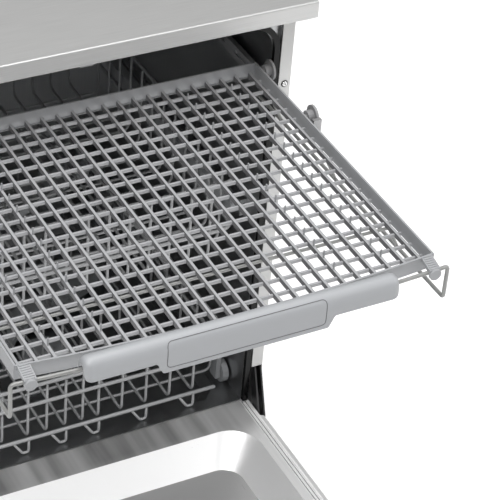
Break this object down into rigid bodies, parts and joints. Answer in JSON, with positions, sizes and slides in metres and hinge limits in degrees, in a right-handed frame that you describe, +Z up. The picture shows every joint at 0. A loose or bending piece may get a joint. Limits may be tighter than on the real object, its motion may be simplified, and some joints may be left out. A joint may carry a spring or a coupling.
{
  "type": "dishwasher",
  "caption": "Free-standing dishwasher with its door down: sliding baskets, a cutlery tray that runs out with the door, spray arms and pumps.",
  "frame": {"origin": "on the floor, midway between the four feet", "axes": "+X to the right of someone who faces the door, +Y to the back, +Z up"},
  "size_m": [0.6, 1.2524, 0.85],
  "materials": {
    "worktop": "brushed",
    "board": "pressed board",
    "enamel": "white enamel",
    "zinc": "galvanised sheet",
    "steel": "satin stainless",
    "bright_steel": "bright",
    "wire": "coated wire",
    "black_plastic": "fine grain",
    "grey_plastic": "fine grain",
    "dark_grey_plastic": "fine grain",
    "white_plastic": "gloss",
    "seal": "matt",
    "window": "smoked",
    "plate": "satin silver"
  },
  "bodies": {
    "cabinet": {"worktop": "worktop", "worktop_board": "board", "left_side_panel": "enamel", "right_side_panel": "enamel", "rear_panel": "zinc", "base_pan": "dark_grey_plastic", "kick_plate": "black_plastic", "feet": "black_plastic", "tub": "steel", "tub_gasket": "seal", "sill_seal": "seal", "post_screws": "bright_steel", "top_rail": "zinc", "hinge_brackets": "zinc", "tray_guides": "steel", "upper_rails": "steel", "sump": "dark_grey_plastic", "filter_plate": "steel", "pumps": "black_plastic", "softener": "white_plastic", "water_jacket": "white_plastic", "feed_duct": "grey_plastic"},
    "door": {"door_inner_panel": "steel", "door_side_strips": "grey_plastic", "door_outer_panel": "enamel", "control_panel": "white_plastic", "display_window": "window", "dispenser_body": "grey_plastic", "door_latch": "dark_grey_plastic", "hinge_arms": "black_plastic"},
    "tray": {"tray_basin": "grey_plastic", "tray_grid": "grey_plastic", "tray_pins": "grey_plastic", "tray_frame": "wire", "tray_handle": "grey_plastic", "handle_plate": "plate"},
    "tray_rollers_front": {"tray_rollers_front": "white_plastic"},
    "tray_rollers_rear": {"tray_rollers_rear": "white_plastic"},
    "tray_rail_left": {"tray_rail_left": "bright_steel"},
    "tray_rail_right": {"tray_rail_right": "bright_steel"},
    "lower_rack": {"lower_rack": "wire", "lower_rack_feet": "wire", "wheel_carriers": "grey_plastic"},
    "lower_tines": {"lower_tines": "wire"},
    "lower_wheels_front": {"lower_wheels_front": "grey_plastic"},
    "lower_wheels_rear": {"lower_wheels_rear": "grey_plastic"},
    "upper_rack": {"upper_rack": "wire", "upper_runners": "grey_plastic", "upper_feed_pipe": "grey_plastic"},
    "power_button": {"power_button": "grey_plastic"},
    "programme_button": {"programme_button": "grey_plastic"},
    "delay_button": {"delay_button": "grey_plastic"},
    "start_button": {"start_button": "grey_plastic"},
    "dispenser_lid": {"dispenser_lid": "grey_plastic"},
    "rinse_cap": {"rinse_cap": "dark_grey_plastic"},
    "lower_spray_arm": {"lower_spray_arm": "grey_plastic"},
    "upper_spray_arm": {"upper_spray_arm": "grey_plastic"},
    "ceiling_spray_arm": {"ceiling_spray_arm": "grey_plastic"},
    "filter_cylinder": {"filter_cylinder": "grey_plastic"},
    "salt_cap": {"salt_cap": "grey_plastic"}
  },
  "joints": [
    {"name": "door_hinge", "type": "hinge", "parent": "cabinet", "child": "door", "pos_m": [0, -0.2974, 0.14], "axis": [-1, 0, 0], "range_deg": [0, 90]},
    {"name": "tray_slide", "type": "slide", "parent": "cabinet", "child": "tray", "axis": [0, 1, 0], "range_m": [0, 0.47]},
    {"name": "tray_rail_left_slide", "type": "slide", "parent": "cabinet", "child": "tray_rail_left", "axis": [0, 1, 0], "range_m": [0, 0.18]},
    {"name": "tray_rail_right_slide", "type": "slide", "parent": "cabinet", "child": "tray_rail_right", "axis": [0, 1, 0], "range_m": [0, 0.18]},
    {"name": "tray_rollers_front_turn", "type": "hinge", "parent": "tray", "child": "tray_rollers_front", "pos_m": [0, -0.386, 0.728], "axis": [-1, 0, 0], "range_deg": [0, 2080]},
    {"name": "tray_rollers_rear_turn", "type": "hinge", "parent": "tray", "child": "tray_rollers_rear", "pos_m": [0, -0.273, 0.728], "axis": [-1, 0, 0], "range_deg": [0, 2080]},
    {"name": "lower_rack_slide", "type": "slide", "parent": "cabinet", "child": "lower_rack", "axis": [0, 1, 0], "range_m": [-0.48, 0]},
    {"name": "lower_wheels_front_turn", "type": "hinge", "parent": "lower_rack", "child": "lower_wheels_front", "pos_m": [0, -0.215, 0.182], "axis": [-1, 0, 0], "range_deg": [-1530, 0]},
    {"name": "lower_wheels_rear_turn", "type": "hinge", "parent": "lower_rack", "child": "lower_wheels_rear", "pos_m": [0, 0.175, 0.182], "axis": [-1, 0, 0], "range_deg": [-1530, 0]},
    {"name": "lower_tines_fold", "type": "hinge", "parent": "lower_rack", "child": "lower_tines", "pos_m": [0, -0.11007, 0.1947], "axis": [-1, 0, 0], "range_deg": [0, 80]},
    {"name": "upper_rack_slide", "type": "slide", "parent": "cabinet", "child": "upper_rack", "axis": [0, 1, 0], "range_m": [-0.4, 0]},
    {"name": "lower_spray_arm_turn", "type": "hinge", "parent": "cabinet", "child": "lower_spray_arm", "pos_m": [0, -0.012, 0.171], "axis": [0, 0, 1], "continuous": true},
    {"name": "upper_spray_arm_turn", "type": "hinge", "parent": "upper_rack", "child": "upper_spray_arm", "pos_m": [0, -0.012, 0.39], "axis": [0, 0, 1], "continuous": true},
    {"name": "ceiling_spray_arm_turn", "type": "hinge", "parent": "cabinet", "child": "ceiling_spray_arm", "pos_m": [0, -0.012, 0.765], "axis": [0, 0, 1], "continuous": true},
    {"name": "dispenser_lid_hinge", "type": "hinge", "parent": "door", "child": "dispenser_lid", "pos_m": [0.001, -0.614, 0.1377], "axis": [1, 0, 0], "range_deg": [-170, 0]},
    {"name": "rinse_cap_turn", "type": "hinge", "parent": "door", "child": "rinse_cap", "pos_m": [0.078, -0.665, 0.135], "axis": [0, 0, 1], "range_deg": [0, 90]},
    {"name": "power_button_press", "type": "slide", "parent": "door", "child": "power_button", "axis": [0, 0, 1], "range_m": [0, 0.0015], "stiffness_N_per_m": 400},
    {"name": "programme_button_press", "type": "slide", "parent": "door", "child": "programme_button", "axis": [0, 0, 1], "range_m": [0, 0.0015], "stiffness_N_per_m": 400},
    {"name": "delay_button_press", "type": "slide", "parent": "door", "child": "delay_button", "axis": [0, 0, 1], "range_m": [0, 0.0015], "stiffness_N_per_m": 400},
    {"name": "start_button_press", "type": "slide", "parent": "door", "child": "start_button", "axis": [0, 0, 1], "range_m": [0, 0.0015], "stiffness_N_per_m": 400},
    {"name": "filter_cylinder_turn", "type": "hinge", "parent": "cabinet", "child": "filter_cylinder", "pos_m": [0.062, -0.052, 0.15], "axis": [0, 0, 1], "range_deg": [0, 60]},
    {"name": "salt_cap_turn", "type": "hinge", "parent": "cabinet", "child": "salt_cap", "pos_m": [-0.185, -0.15, 0.15], "axis": [0, 0, 1], "range_deg": [0, 90]}
  ],
  "couplings": [
    {"joint": "tray_slide", "follows": "door_hinge", "m_per_rad": 0.2992},
    {"joint": "tray_rail_left_slide", "follows": "door_hinge", "m_per_rad": 0.1145},
    {"joint": "tray_rail_right_slide", "follows": "door_hinge", "m_per_rad": 0.1145},
    {"joint": "tray_rollers_front_turn", "follows": "door_hinge", "ratio": 23.06},
    {"joint": "tray_rollers_rear_turn", "follows": "door_hinge", "ratio": 23.06},
    {"joint": "lower_wheels_front_turn", "follows": "lower_rack_slide", "rad_per_m": 55.556},
    {"joint": "lower_wheels_rear_turn", "follows": "lower_rack_slide", "rad_per_m": 55.556}
  ]
}
